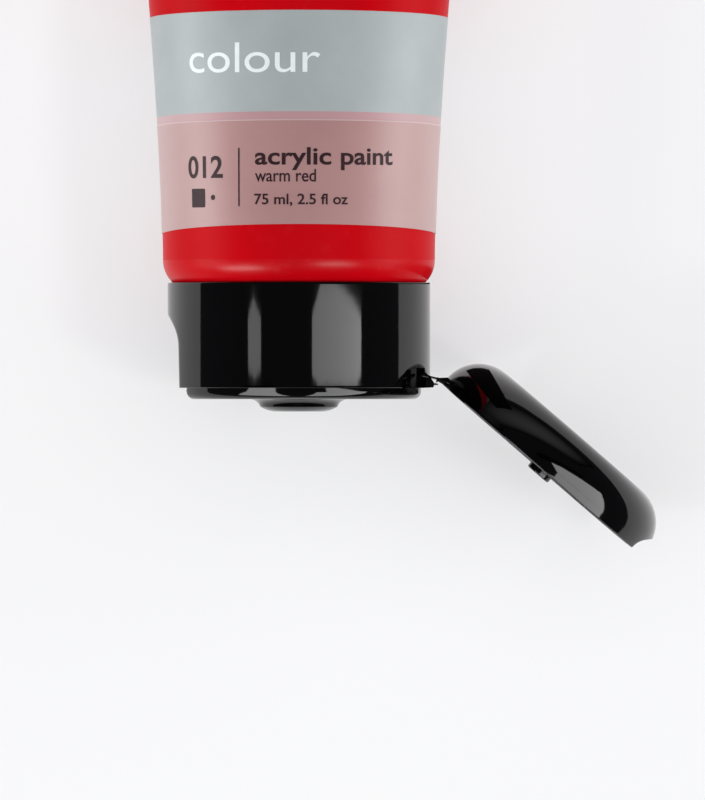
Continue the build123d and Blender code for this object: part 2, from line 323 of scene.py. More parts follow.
def feed(tree, socket, value):
    """Links a socket to a value in the tree, or sets it."""
    if isinstance(value, Wire):
        value = value.socket
    if isinstance(value, bpy.types.NodeSocket):
        tree.links.new(value, socket)
    elif isinstance(value, tuple) and len(value) == 3 and socket.type == "RGBA":
        socket.default_value = (*value, 1)
    else:
        socket.default_value = value


def add_node(tree, kind, settings=None, inputs=None):
    """Adds a node: its settings first, then the values or links of its sockets."""
    made = tree.nodes.new(kind)
    for key, value in (settings or {}).items():
        setattr(made, key, value)
    for key, value in (inputs or {}).items():
        feed(tree, made.inputs[key], value)
    return made


class Recipe:
    """One material: a Principled shader and what feeds it."""

    def __init__(self, name, **fixed):
        self.material = bpy.data.materials.new(name)
        self.material.use_nodes = True
        self.tree = self.material.node_tree
        self.shader = self.tree.nodes["Principled BSDF"]
        for key, value in fixed.items():
            socket = key.replace("_", " ").title().replace("Ior", "IOR")
            self.shader.inputs[socket].default_value = value
        self.place = self.node("ShaderNodeTexCoord").outputs["Object"]
        apart = self.node("ShaderNodeSeparateXYZ", {}, {0: self.place})
        self.x, self.y, self.z = (Wire(self, out) for out in apart.outputs)

    def node(self, kind, settings=None, inputs=None):
        return add_node(self.tree, kind, settings, inputs)

    def feed(self, socket, value):
        feed(self.tree, socket, value)

    def noise(self, per_metre, detail=3.0, roughness=0.55, stretch=(1, 1, 1)):
        """Noise from 0 to 1 on the piece's own coordinates, stretched if asked."""
        mapped = self.node("ShaderNodeMapping", {}, {"Vector": self.place, "Scale": stretch})
        made = self.node(
            "ShaderNodeTexNoise",
            {"noise_dimensions": "3D"},
            {"Vector": mapped.outputs[0], "Scale": per_metre, "Detail": detail, "Roughness": roughness},
        )
        return Wire(self, made.outputs["Fac"])

    def cells(self, per_metre):
        """Distance to the nearest of many scattered points."""
        inputs = {"Vector": self.place, "Scale": per_metre}
        made = self.node("ShaderNodeTexVoronoi", {"feature": "F1"}, inputs)
        return Wire(self, made.outputs["Distance"])

    def blend(self, share, first, second):
        """Colour mix: share of the second over the first."""
        inputs = {0: share, 6: first, 7: second}
        return self.node("ShaderNodeMix", {"data_type": "RGBA"}, inputs).outputs[2]

    def colour(self, value):
        self.feed(self.shader.inputs["Base Color"], value)

    def rough(self, value):
        self.feed(self.shader.inputs["Roughness"], value)

    def bump(self, height, depth_mm, strength=1.0):
        """Relief from a height of 0 to 1 that stands depth_mm deep."""
        sizes = {"Strength": strength, "Distance": depth_mm * MM, "Height": height}
        made = self.node("ShaderNodeBump", {}, sizes)
        self.feed(self.shader.inputs["Normal"], made.outputs[0])


def tone(red, green, blue):
    """An 8-bit display colour as the linear one that a shader takes."""
    values = np.array([red, green, blue]) / 255
    return tuple(np.where(values <= 0.04045, values / 12.92, ((values + 0.055) / 1.055) ** 2.4).tolist())


# ---- finishes -------------------------------------------------------------------------
def red_plastic(name, roughness, shine):
    """Satin red polyethylene: slight colour drift, fine extrusion lines and faint scuffs."""
    made = Recipe(name, specular_ior_level=shine)
    drift = made.noise(60, 4)
    scuff = made.noise(420, 5, 0.7).between(0.56, 0.78)
    lines = made.noise(900, 2, 0.5, stretch=(1, 0.04, 1))
    body = made.blend(drift.between(0.3, 0.7), tone(194, 0, 14), tone(180, 0, 12))
    made.colour(made.blend(scuff * 0.10, body, tone(214, 60, 60)))
    made.rough(roughness + drift * 0.06 + scuff * 0.10)
    grain = made.noise(2600, 2)
    made.bump(grain * 0.6 + lines * 0.4, 0.012)
    return made.material


def grey_ink():
    """Satin grey printing ink: tiny pinholes, soft mottling, and the sleeve's lines under it."""
    made = Recipe("grey_ink", specular_ior_level=0.4)
    mottle = made.noise(160, 4)
    pinhole = 1 - made.cells(1500).between(0.03, 0.07)
    rare = made.noise(300, 1).between(0.62, 0.66)
    body = made.blend(mottle.between(0.3, 0.7), tone(164, 171, 172), tone(158, 165, 166))
    made.colour(made.blend(pinhole * rare * 0.5, body, tone(190, 120, 120)))
    made.rough(0.40 + mottle * 0.10)
    made.bump(made.noise(2200, 3), 0.010)
    return made.material


def label_film(edge, drop):
    """Milky pink film over the red sleeve: a pale line at its cut edge, fine mottling, and a painted
    sheen that pales it towards the sleeve's left and right sides.
    """
    made = Recipe("pink_label_film", specular_ior_level=0.4)
    mottle = made.noise(120, 4)
    side = (made.x * (1 / SLEEVE_RADIUS / MM)).power(2.0)
    level = made.y + (1 - side.clamped()).power(0.5) * (-drop * MM) + (drop - edge) * MM
    above = level.between(-0.02 * MM, 0.02 * MM)
    line = level.between(-0.16 * MM, -0.10 * MM) * (1 - above)
    body = made.blend(mottle.between(0.3, 0.7), tone(168, 128, 126), tone(163, 122, 121))
    body = made.blend(above, body, tone(176, 136, 141))
    # painted sheen: the film's colour is paled towards the sleeve's left and right sides, where light
    # grazes the curve
    body = made.blend(side.power(1.5).clamped() * 0.45, body, tone(206, 186, 184))
    made.colour(made.blend(line * 0.55, body, tone(216, 196, 198)))
    made.rough(0.34 + mottle * 0.10 + above * 0.06)
    made.bump(made.noise(2000, 3) * 0.7 + made.noise(90, 2) * 0.3, 0.012)
    return made.material


def ink(name, colour, fleck):
    """A letter's ink: solid, a little uneven, and slightly worn."""
    made = Recipe(name, specular_ior_level=0.2)
    uneven = made.noise(900, 4)
    made.colour(made.blend(uneven.between(0.35, 0.75), colour, fleck))
    made.rough(0.42 + uneven * 0.12)
    made.bump(uneven, 0.006)
    return made.material


def black_plastic(name, roughness, gloss_depth=0.004):
    """Glossy black polypropylene: hairline scratches, dust-fine grain and faint finger marks."""
    made = Recipe(name, ior=1.5)
    smear = made.noise(70, 5, 0.6).between(0.45, 0.8)
    hairs = made.noise(500, 2, 0.5, stretch=(1, 0.03, 1)).between(0.60, 0.70)
    cross = made.noise(420, 2, 0.5, stretch=(0.05, 1, 1)).between(0.64, 0.72)
    speck = 1 - made.cells(900).between(0.02, 0.05)
    dust = speck * made.noise(200, 1).between(0.6, 0.64)
    tint = made.blend(smear * 0.5, tone(23, 21, 24), tone(28, 26, 29))
    made.colour(made.blend(dust * 0.25, tint, tone(70, 68, 70)))
    made.rough(roughness + smear * 0.035 + (hairs + cross) * 0.03 + dust * 0.2)
    made.bump(made.noise(260, 2) * 0.7 + hairs * 0.15 + cross * 0.15, gloss_depth)
    return made.material


def natural_plastic():
    """Uncoloured polyethylene: milky, waxy and slightly mottled."""
    made = Recipe("natural_plastic", ior=1.51, subsurface_weight=0.25, subsurface_scale=0.001)
    mottle = made.noise(200, 4)
    made.colour(made.blend(mottle, tone(214, 212, 204), tone(228, 227, 221)))
    made.rough(0.42 + mottle * 0.1)
    made.bump(made.noise(1500, 3), 0.01)
    return made.material


def wet_paint():
    """Thick red acrylic paint: wet, with soft streaks."""
    made = Recipe("wet_red_paint", ior=1.48, coat_weight=0.4, coat_roughness=0.05)
    streak = made.noise(150, 4, stretch=(1, 0.3, 1))
    made.colour(made.blend(streak.between(0.3, 0.7), tone(190, 20, 24), tone(172, 12, 18)))
    made.rough(0.18 + streak * 0.12)
    made.bump(streak, 0.08)
    return made.material


# ---- sleeve ---------------------------------------------------------------------------
def half_depth(t):
    """Half the sleeve's depth at fraction t of its taper, from round to flat."""
    return SEAL_HALF + (SLEEVE_RADIUS - SEAL_HALF) * (1 - np.clip(t, 0, 1) ** TAPER_POWER)


def half_width(depth):
    """The ellipse's other half axis for the same perimeter, by halving an interval."""
    low = np.full_like(depth, SLEEVE_RADIUS)
    high = np.full_like(depth, 1.6 * SLEEVE_RADIUS)
    for _ in range(50):
        width = (low + high) / 2
        around = 3 * (width + depth) - np.sqrt((3 * width + depth) * (width + 3 * depth))
        low = np.where(around < 2 * SLEEVE_RADIUS, width, low)
        high = np.where(around < 2 * SLEEVE_RADIUS, high, width)
    return (low + high) / 2


def section(y, grow):
    """Half width, half depth, centre height and squareness of the sleeve at y."""
    t = (y - sleeve_start) / (taper_end - sleeve_start)
    depth = half_depth(t)
    width = half_width(depth)
    centre = depth - SLEEVE_RADIUS + TAIL_LIFT * np.clip(t, 0, 1) ** 4
    square = 2 + 6 * np.clip((t - 0.86) / 0.14, 0, 1) ** 2
    width = width + SWELL * np.clip((y - sleeve_start - 0.5) / 20, 0, 1)
    return width + grow, depth + grow, centre, square


def sleeve_rings(y, grow, columns=256):
    """Rings of the sleeve at heights y: superellipses with their points evenly spaced
    along the wall, so that a column is one line along the plastic."""
    width, depth, centre, square = (v[:, None] for v in section(y, grow))
    fine = np.linspace(0, 2 * math.pi, 4096)[None]
    cos, sin = np.cos(fine), np.sin(fine)
    x = width * np.sign(cos) * np.abs(cos) ** (2 / square)
    z = depth * np.sign(sin) * np.abs(sin) ** (2 / square)
    travel = np.hypot(np.diff(x, axis=1), np.diff(z, axis=1)).cumsum(axis=1)
    travel = np.concatenate([np.zeros((len(y), 1)), travel], axis=1)
    wanted = np.linspace(0, 1, columns, endpoint=False)
    even_x = np.stack([np.interp(wanted * t[-1], t, row) for t, row in zip(travel, x)])
    even_z = np.stack([np.interp(wanted * t[-1], t, row) for t, row in zip(travel, z)])
    height = np.repeat(y[:, None], columns, axis=1)
    return np.stack([even_x, height, even_z + centre], axis=-1)


def make_sleeve(finish):
    """The plastic wall. Outside, it runs from the shoulder to the crimped tail, and inside
    back again; soft hand dents are cosine bumps that fade out at both ends."""
    inner_y = np.linspace(taper_end - 6, sleeve_start, 40)
    lower_y = np.linspace(sleeve_start, taper_end - 14, 110)
    upper_y = np.linspace(taper_end - 13.4, taper_end - 0.3, 40)
    outer_y = np.concatenate([lower_y, upper_y])
    crimp_y = np.linspace(taper_end, sleeve_end - 0.06, 90)
    inner = sleeve_rings(inner_y, -WALL)
    outer = sleeve_rings(outer_y, 0)
    crimp = sleeve_rings(crimp_y, 0)

    share = (outer[..., 1] - sleeve_start) / (taper_end - sleeve_start)
    side = outer[..., 0] / SLEEVE_RADIUS
    top = np.clip(outer[..., 2] / SLEEVE_RADIUS + 0.2, 0, 1)
    fade = np.sin(np.clip((share - 0.32) / 0.62, 0, 1) * math.pi) ** 2
    dent = 0.35 * np.cos(2.3 * side + 5.2 * share) + 0.25 * np.cos(4.1 * side - 9.0 * share + 1.0)
    outer[..., 2] -= fade * top * (0.25 + dent)

    middle = section(crimp_y, 0)[2][:, None]
    ribs = 0.5 - 0.5 * np.cos((crimp_y - taper_end) / SEAL_LENGTH * 2 * math.pi * 7)
    inset = np.clip((np.abs(crimp[..., 0]).max() - 1.2 - np.abs(crimp[..., 0])) / 0.8, 0, 1)
    thinner = 1 - 0.32 * ribs[:, None] * inset
    crimp[..., 2] = middle + (crimp[..., 2] - middle) * thinner
    edge = crimp[-1:].copy()
    edge[..., 1] = sleeve_end
    edge[..., 2] = middle[-1] + (edge[..., 2] - middle[-1]) * 0.85
    flat = edge.copy()
    flat[..., 2] = middle[-1]
    blind = inner[:1].copy()
    blind[..., 2] = section(inner_y[:1], 0)[2][0]
    grid = np.concatenate([blind, inner, outer, crimp, edge, flat])
    return shell("tube_sleeve", grid, False, "tube", finish, ["sleeve"], sharp=40)


def bowed(rings, drop):
    """Moves rings towards the cap at the sleeve's sides: the drop is nothing on the line
    along the top and bottom, and follows an ellipse in between."""
    middle = rings[..., 2].mean(axis=1, keepdims=True)
    up = (rings[..., 2] - middle) / np.abs(rings[..., 2] - middle).max(axis=1, keepdims=True)
    return rings[..., 1] - drop[:, None] * (1 - np.sqrt(up**2 + 0.004))


def make_skin(name, low, high, finish, replaces, step=None):
    """A thin skin round the sleeve between two printed edges, with a rim and a back. An
    edge is a height on the top line and its drop at the sides. Below the height of the
    step, a second film lies on the first."""
    share = np.linspace(0, 1, 60)
    if step is not None:
        place = (step[0] - low[0]) / (high[0] - low[0])
        share = np.sort(np.concatenate([share, [place - 0.002, place + 0.002]]))
    y = low[0] + (high[0] - low[0]) * share
    drop = np.interp(y, *zip(*sorted([low, high] + ([step] if step else []))))

    def rings(rows, lifts):
        flat = sleeve_rings(y[rows], 0)
        height = bowed(flat, drop[rows])
        width, depth, centre, _ = section(height.ravel(), 0)
        base_width, base_depth, base_centre, _ = section(y[rows], 0)
        across = flat[..., 0] / base_width[:, None]
        up = (flat[..., 2] - base_centre[:, None]) / base_depth[:, None]
        shape = flat.shape[:2]
        x = across * (width.reshape(shape) + lifts[:, None])
        z = up * (depth.reshape(shape) + lifts[:, None]) + centre.reshape(shape)
        return np.stack([x, height, z], axis=-1)

    order = np.arange(len(y))
    lifts = np.full(len(y), SKIN_LIFT)
    if step is not None:
        lifts[y < step[0]] += FILM_LIFT
    front = rings(order, lifts)
    back = rings(order[::-1], np.full(len(y), 0.004))
    return shell(name, np.concatenate([front, back]), True, "tube", finish, replaces, sharp=50)


def tooth_height(angle, y):
    """Relief of the neck's thread: a trapezoid round the line y = start + pitch * turns,
    which fades out over its last 0.4 mm at both ends."""
    phase = y - THREAD_START - THREAD_PITCH * angle / (2 * math.pi)
    nearest = phase - THREAD_PITCH * np.round(phase / THREAD_PITCH)
    along = y - nearest
    relief = np.clip((THREAD_BASE / 2 - np.abs(nearest)) / ((THREAD_BASE - THREAD_TIP) / 2), 0, 1)
    fade = np.clip((along - THREAD_START) / 0.4, 0, 1) * np.clip((THREAD_END - along) / 0.4, 0, 1)
    return THREAD_HEIGHT * relief * fade


def make_head(finish):
    """Shoulder and neck: a turned profile, with the thread as relief on the neck."""
    corner_x = SLEEVE_RADIUS - CORNER_RADIUS
    flat = sleeve_start - CORNER_RADIUS
    bore_split = 9
    t = np.radians(np.linspace(-90, 0, 40))[:, None]
    arc = np.hstack([np.cos(t), np.sin(t)])
    centre = np.array([corner_x, sleeve_start])
    round_out = centre + CORNER_RADIUS * arc
    round_in = (centre + (CORNER_RADIUS - SHOULDER_WALL) * arc)[::-1]
    tip = [(NECK_BORE, bore_split, 0), (NECK_BORE, NECK_END, 0.2), (NECK_RADIUS, NECK_END, 0.3)]
    neck = outline([*tip, (NECK_RADIUS, NECK_ROOT, 0.6), (corner_x, flat, 0)], 0.12)
    under = [(corner_x, flat + SHOULDER_WALL, 0), (NECK_BORE, NECK_ROOT + SHOULDER_WALL, 0.4)]
    back = outline([*under, (NECK_BORE, bore_split + 0.1, 0)], 0.5)
    profile = np.concatenate([neck[:-1], round_out, round_in, back[1:]])

    def rule(r, h, angle):
        on_neck = (np.abs(r - NECK_RADIUS) < 0.02) & (h > 5) & (h < 14)
        return r + on_neck * tooth_height(angle, h)

    grid = turned(profile, cap_place, even_angles(len(profile), 256), rule)
    return shell("tube_shoulder", grid, True, "tube", finish, ["shoulder"])


# ---- cap ------------------------------------------------------------------------------
EDGE_ROUND = 0.1
COLLAR_ROUND = 1.0
COLLAR_FLAT = 14.4
RECESS_FLAT = 15.45
RECESS_BEND = 8.3
RECESS_DRAFT = 0.022
RECESS_RISE = 1.45
RECESS_SPAN = 4.15
SKIRT_INNER = 14.9
SKIRT_CHAMFER = 1.8
LUG_HALF = 4.8
POCKET_HALF = 10.4
POCKET_TOP = 5.6
POCKET_CORNER = 1.6


def recess_floor(h):
    """Distance of the thumb recess's floor from the axis: flat, then curving out."""
    curve = np.clip((h - RECESS_BEND) / RECESS_SPAN, 0, None) ** 2
    return RECESS_FLAT - RECESS_DRAFT * np.clip(RECESS_BEND - h, 0, None) + RECESS_RISE * curve


def rounding(depth, radius):
    """How far a rounded edge of that radius falls back, depth below its start."""
    return radius - np.sqrt(np.clip(radius**2 - depth**2, 0, None))


def facet_angles(floor, radius, rows, with_pockets, pocket_edge=None):
    """Angles that put columns on the edges of the flat facet and of the hinge pockets."""
    half = np.arccos(np.clip(floor / radius, -1, 0.9995))
    near = half - np.minimum(0.35 * half, 0.028)
    far = half + 0.028
    whole = 2 * math.pi
    if with_pockets:
        first = np.full(rows, math.asin(LUG_HALF / radius))
        second = pocket_edge
        tiny = 0.0018
        marks = [0 * half, first - tiny, first + tiny, second - tiny, second + tiny]
        counts = [10, 2, 16, 2]
    else:
        marks = [0 * half]
        counts = []
    start = math.pi - far
    marks = [*marks, start, math.pi - near, math.pi + near, math.pi + far]
    counts = [*counts, 70, 10, 40, 10]
    if with_pockets:
        marks = [*marks, whole - second - tiny, whole - second + tiny]
        marks = [*marks, whole - first - tiny, whole - first + tiny]
        counts = [*counts, 70, 2, 16, 2, 10]
    else:
        counts = [*counts, 70]
    marks = [*marks, np.full(rows, whole)]
    return spread_angles(np.stack(marks, axis=1), counts)


def facet(r, floor, angles, width=0.22):
    """Cuts a round wall back to a flat at that distance on the side away from the hinge."""
    away = np.maximum(-np.cos(angles), 0.05)
    return np.where(np.cos(angles) < 0, soft_min(r, floor / away, width), r)


def pocket_cut(r, h, angles, top, floor, reach):
    """Sinks the wall to floor radius in the two pockets beside the hinge."""
    off = np.abs((angles + math.pi) % (2 * math.pi) - math.pi)
    inside = (off > math.asin(LUG_HALF / cap_radius)) & (off < reach) & (h < top)
    return np.where(inside, np.minimum(r, floor), r)


def pocket_reach(h, top, corner):
    """Angle of the pocket's far edge at height h: its upper corner is an arc."""
    rise = np.clip(h - (top - corner), 0, corner)
    inward = corner - np.sqrt(corner**2 - rise**2)
    return np.arcsin((POCKET_HALF - inward) / cap_radius)


def make_skirt(finish):
    """The cap's outer wall: a turned ring with the thumb facet and the strap pockets."""
    corners = [
        (SKIRT_INNER, seat, EDGE_ROUND),
        (cap_radius, seat, EDGE_ROUND),
        (cap_radius, POCKET_TOP - 0.02, 0),
        (cap_radius, POCKET_TOP + 0.02, 0),
        (cap_radius, skirt_rim, 0.16),
        (cap_radius - 0.4, skirt_rim, 0.05),
        (SKIRT_INNER, skirt_rim - SKIRT_CHAMFER, 0.3),
    ]
    profile = closed_outline(corners, 0.16)
    h = profile[:, 1]
    edge_drop = np.clip(EDGE_ROUND - (h - seat), 0, EDGE_ROUND)
    floor = recess_floor(h) - rounding(edge_drop, EDGE_ROUND)
    reach = pocket_reach(h, POCKET_TOP, POCKET_CORNER)
    angles = facet_angles(floor, cap_radius, len(profile), True, reach)

    def rule(r, h, a):
        cut = facet(r, floor[:, None], a)
        return pocket_cut(cut, h, a, POCKET_TOP, collar_radius, reach[:, None])

    grid = turned(profile, cap_place, angles, rule)
    return shell("cap_skirt_wall", grid, True, "closure", finish, ["cap_skirt"])


def make_collar(finish):
    """The round plate inside the lid, with a rounded edge and the facet's flat."""
    corners = [
        (nozzle_base, collar_face, 0.05),
        (collar_radius, collar_face, COLLAR_ROUND),
        (collar_radius, seat, 0),
        (nozzle_base, seat, 0),
    ]
    profile = closed_outline(corners, 0.25)
    edge_drop = np.clip(COLLAR_ROUND - (profile[:, 1] - collar_face), 0, COLLAR_ROUND)
    floor = COLLAR_FLAT - rounding(edge_drop, COLLAR_ROUND)
    angles = facet_angles(floor, collar_radius, len(profile), False)

    def rule(r, h, a):
        return facet(r, floor[:, None], a, 0.15)

    grid = turned(profile, cap_place, angles, rule)
    return shell("cap_collar", grid, True, "closure", finish, ["cap_deck"])


def make_nozzle(finish):
    """Low nozzle with the orifice. Its outline is a cubic in the height, which flares out of
    the plate and stands steepest halfway, then a quadratic curve round to a flat lip."""
    low = nozzle_low.y
    h = np.linspace(collar_face, 0.62, 40)
    r = 5.03 + 0.45 * (h - 0.75) + 1.205 * (h - 0.75) ** 3
    waist = np.stack([r, h], axis=1)
    t = np.linspace(0, 1, 30)[1:, None]
    turn_point = np.array([4.0, low])
    flat_start = np.array([2.9, low])
    lip = (1 - t) ** 2 * waist[-1] + 2 * t * (1 - t) * turn_point + t**2 * flat_start
    corners = [(2.9, low, 0), (orifice_radius, low, 0.15), (orifice_radius, seat, 0.05), (r[0], seat, 0)]
    profile = np.concatenate([waist, lip[:-1], outline(corners, 0.15)])
    grid = turned(profile, cap_place, even_angles(len(profile), 200))
    return shell("cap_nozzle", grid, True, "closure", finish, ["nozzle"])


# ---- lid ------------------------------------------------------------------------------
LID_HEIGHT = 6.45
LID_EDGE = 5.4
LID_WALL = 1.0
LID_TOP = 1.2
LID_RIM = 0.05
LID_RIM_ROUND = 0.2
LID_SOLID_FLAT = 14.55
LID_SOLID_END = 4.6
LID_POCKET = 1.1
LID_POCKET_FLOOR = 16.1
LID_POCKET_CORNER = 0.5


def scoop_floor(h):
    """Distance of the lid's thumb scoop from the axis: it curves out to a lip."""
    return 15.26 + 1.12 * (np.clip(h, 0, None) / 2.39) ** 2.5


def make_lid(finish):
    """Shallow round cap, solid from its outside over the rim to its inside, with the scoop
    cut out of its far side and shallow pockets for the straps beside the hinge."""
    inner = cap_radius - LID_WALL
    corners = [
        (0, LID_HEIGHT + 0.12, 0),
        (4, LID_HEIGHT + 0.11, 0),
        (8, LID_HEIGHT + 0.06, 0),
        (cap_radius, LID_HEIGHT, LID_EDGE),
        (cap_radius, LID_POCKET + 0.02, 0),
        (cap_radius, LID_POCKET - 0.02, 0),
        (cap_radius, LID_RIM, LID_RIM_ROUND),
        (inner, LID_RIM, 0.12),
        (inner, LID_HEIGHT - LID_TOP, LID_EDGE - LID_WALL),
        (0, LID_HEIGHT - LID_TOP, 0),
    ]
    profile = outline(corners, 0.18)
    h = profile[:, 1]
    far = 99
    lowest = np.argmin(np.where(profile[:, 0] > inner + 0.3, h, far))
    outside = np.arange(len(profile)) <= lowest
    edge_drop = np.clip(LID_RIM_ROUND - (h - LID_RIM), 0, LID_RIM_ROUND)
    scoop = scoop_floor(h) - rounding(edge_drop, LID_RIM_ROUND)
    floor = np.where(outside, np.where(h > LID_SOLID_END, far, scoop), LID_SOLID_FLAT)
    reach = pocket_reach(h * 0, LID_POCKET, LID_POCKET_CORNER)
    angles = facet_angles(np.minimum(floor, 16.7), cap_radius, len(profile), True, reach)

    def rule(r, h, a):
        cut = facet(r, floor[:, None], a, 0.2)
        return pocket_cut(cut, h, a, LID_POCKET, LID_POCKET_FLOOR, reach[:, None])

    grid = turned(profile, lid_place, angles, rule)
    return shell("lid_dome", grid, False, "lid", finish, ["lid_shell"])


def make_plug(finish):
    """Stepped plug with a hollow tip, turned about the lid's axis."""
    ceiling = LID_HEIGHT - LID_TOP
    mouth = seat - nozzle_low.y
    seal = orifice_radius - 0.1
    corners = [
        (0, ceiling, 0),
        (3.3, ceiling, 0),
        (3.3, mouth + 0.3, 0.2),
        (seal, mouth + 0.3, 0.1),
        (seal, mouth - 0.4, 0.15),
        (1.7, mouth - 1.4, 0.3),
        (1.7, -0.7, 0.2),
        (1.15, -0.7, 0.1),
        (1.0, 0.6, 0.1),
        (0, 0.6, 0),
    ]
    profile = outline(corners, 0.2)
    grid = turned(profile, lid_place, even_angles(len(profile), 96))
    return shell("lid_plug_pin", grid, False, "lid", finish, ["lid_plug"])


def make_ring(finish):
    """Thin upright ring round the plug, with a rounded rim."""
    ceiling = LID_HEIGHT - LID_TOP
    rim = seat - collar_face + 0.2
    corners = [(6.6, ceiling, 0), (6.6, rim, 0.3), (7.4, rim, 0.3), (7.4, ceiling, 0)]
    profile = closed_outline(corners, 0.3)
    grid = turned(profile, lid_place, even_angles(len(profile), 160))
    return shell("lid_seal_ring", grid, True, "lid", finish, ["lid_ring"])


# ---- hinge ----------------------------------------------------------------------------
def band(name, path, width, thick, middle_z, finish):
    """A flat strap: its middle line lies in a plane square to Z, its section is a rounded
    rectangle, width along Z and thick along the line's normal."""
    line = np.array(path, float)
    steps = np.linspace(0, 1, 25)
    spans = np.concatenate([[0], np.hypot(*np.diff(line, axis=0).T).cumsum()])
    spots = np.stack([np.interp(steps * spans[-1], spans, line[:, k]) for k in (0, 1)], axis=1)
    slope = np.gradient(spots, axis=0)
    slope /= np.linalg.norm(slope, axis=1, keepdims=True)
    normal = np.stack([-slope[:, 1], slope[:, 0]], axis=1)
    turn = np.linspace(0, 2 * math.pi, 48, endpoint=False)
    across = np.sign(np.cos(turn)) * np.abs(np.cos(turn)) ** 0.25 * width / 2
    up = np.sign(np.sin(turn)) * np.abs(np.sin(turn)) ** 0.6 * thick / 2
    waist = 1 - 0.25 * np.sin(steps * math.pi)
    x = spots[:, :1] + normal[:, :1] * up
    y = spots[:, 1:] + normal[:, 1:] * up
    z = middle_z + across[None] * waist[:, None]
    rings = np.stack([x, y, z], axis=-1)
    ends = rings[[0, -1]].copy()
    ends[..., 0] = spots[[0, -1], 0][:, None]
    ends[..., 1] = spots[[0, -1], 1][:, None]
    ends[..., 2] = middle_z + (ends[..., 2] - middle_z) * 0.8
    closed = ends.copy()
    closed[..., 2] = middle_z
    grid = np.concatenate([closed[:1], ends[:1], rings, ends[1:], closed[1:]])
    piece = shell(name, grid, False, None, finish)
    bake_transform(piece)
    return piece


def make_hinge(finish):
    """Two straps beside the hinge line and the thin web on it."""
    for side, label in ((-1, "lower"), (1, "upper")):
        band(
            f"hinge_strap_{label}",
            [(15.9, 4.62), (16.5, 4.56), (17.7, 4.26), (18.7, 3.98), (19.25, 3.7)],
            3.2, 0.28, side * 7.2, finish,
        )
    band(
        "hinge_web",
        [(hinge[0] - 0.35, hinge[1] + 0.02), (hinge[0], hinge[1]), (hinge[0] + 0.35, hinge[1] - 0.04)],
        9.4, 0.22, 0, finish,
    )


# ---- lettering ------------------------------------------------------------------------
def onto_sleeve(points, lift):
    """Wraps flat points (s, y) round the sleeve: s is the way round from its top line."""
    y = points[:, 1]
    width, depth, centre, _ = section(y, lift)
    fine = np.linspace(0, math.pi, 721)
    arc = np.hypot(
        np.diff(width[:, None] * np.cos(fine), axis=1), np.diff(depth[:, None] * np.sin(fine), axis=1)
    ).cumsum(axis=1)
    arc = np.concatenate([np.zeros((len(y), 1)), arc], axis=1)
    arc -= arc[:, 360:361]
    spot = np.array([np.interp(-s, row, fine) for s, row in zip(points[:, 0], arc)])
    return np.stack([width * np.cos(spot), y, centre + depth * np.sin(spot)], axis=1)


def print_on(name, mesh, finish, lift, thick=0.03):
    """Cuts a flat mesh into narrow strips, wraps it on the sleeve and gives it thickness."""
    work = bmesh.new()
    work.from_mesh(mesh)
    bmesh.ops.remove_doubles(work, verts=work.verts, dist=1e-5)
    spots = np.array([v.co for v in work.verts])
    for cut in np.arange(spots[:, 0].min() + 0.3, spots[:, 0].max(), 0.35):
        geometry = [*work.verts, *work.edges, *work.faces]
        bmesh.ops.bisect_plane(work, geom=geometry, plane_co=(cut, 0, 0), plane_no=(1, 0, 0))
    flat = np.array([v.co for v in work.verts])[:, :2]
    low = onto_sleeve(flat, lift)
    high = onto_sleeve(flat, lift + thick)
    faces = [[v.index for v in f.verts] for f in work.faces]
    rim = [(e.verts[0].index, e.verts[1].index) for e in work.edges if e.is_boundary]
    work.free()
    count = len(flat)
    walls = [(a, b, b + count, a + count) for a, b in rim]
    under = [face[::-1] for face in faces]
    above = [[i + count for i in face] for face in faces]
    solid = bpy.data.meshes.new(name)
    solid.from_pydata((np.concatenate([low, high]) * MM).tolist(), [], under + above + walls)
    return close_up(name, solid, "tube", finish, sharp=30)


def text_mesh(words, size, bold):
    """Flat outline of some words as a mesh, with its start at 0 on its base line."""
    curve = bpy.data.curves.new("words", "FONT")
    curve.body = words
    curve.size = size
    curve.offset = bold
    curve.resolution_u = 6
    holder = bpy.data.objects.new("words", curve)
    bpy.context.scene.collection.objects.link(holder)
    bpy.context.view_layer.update()
    mesh = bpy.data.meshes.new_from_object(holder.evaluated_get(bpy.context.evaluated_depsgraph_get()))
    bpy.data.objects.remove(holder)
    return mesh


def write(name, words, size, s, y, finish, lift, bold, width):
    """Prints words with their lower left corner at (s, y), squeezed to that width."""
    mesh = text_mesh(words, size, bold)
    spots = np.array([v.co for v in mesh.vertices])
    start = spots[:, 0].min()
    squeeze = width / (spots[:, 0].max() - start)
    spots[:, 0] = (spots[:, 0] - start) * squeeze + s
    spots[:, 1] += y
    spots[:, 2] = 0
    mesh.vertices.foreach_set("co", spots.ravel())
    return print_on(name, mesh, finish, lift)


def block(name, s, y, half_s, half_y, finish, power):
    """A flat printed mark round (s, y): a superellipse, from a dot to a square."""
    turn = np.linspace(0, 2 * math.pi, 72, endpoint=False)
    across = np.sign(np.cos(turn)) * np.abs(np.cos(turn)) ** (2 / power) * half_s + s
    up = np.sign(np.sin(turn)) * np.abs(np.sin(turn)) ** (2 / power) * half_y + y
    rim = np.stack([across, up, 0 * up], axis=1)
    mesh = bpy.data.meshes.new(name)
    mesh.from_pydata(rim.tolist(), [], [list(range(len(rim)))])
    return print_on(name, mesh, finish, ON_PINK)


# ---- build the object -----------------------------------------------------------------
satin_red = red_plastic("satin_red_plastic", 0.36, 0.04)
gloss_red = red_plastic("moulded_red_plastic", 0.27, 0.06)
black_outer = black_plastic("glossy_black_plastic", 0.055)
black_inner = black_plastic("black_plastic_inside", 0.12, 0.006)
black_flex = black_plastic("flexed_black_plastic", 0.16, 0.01)
white_ink = ink("white_ink", tone(232, 238, 239), tone(222, 229, 230))
dark_ink = ink("dark_ink", tone(44, 24, 29), tone(54, 32, 38))

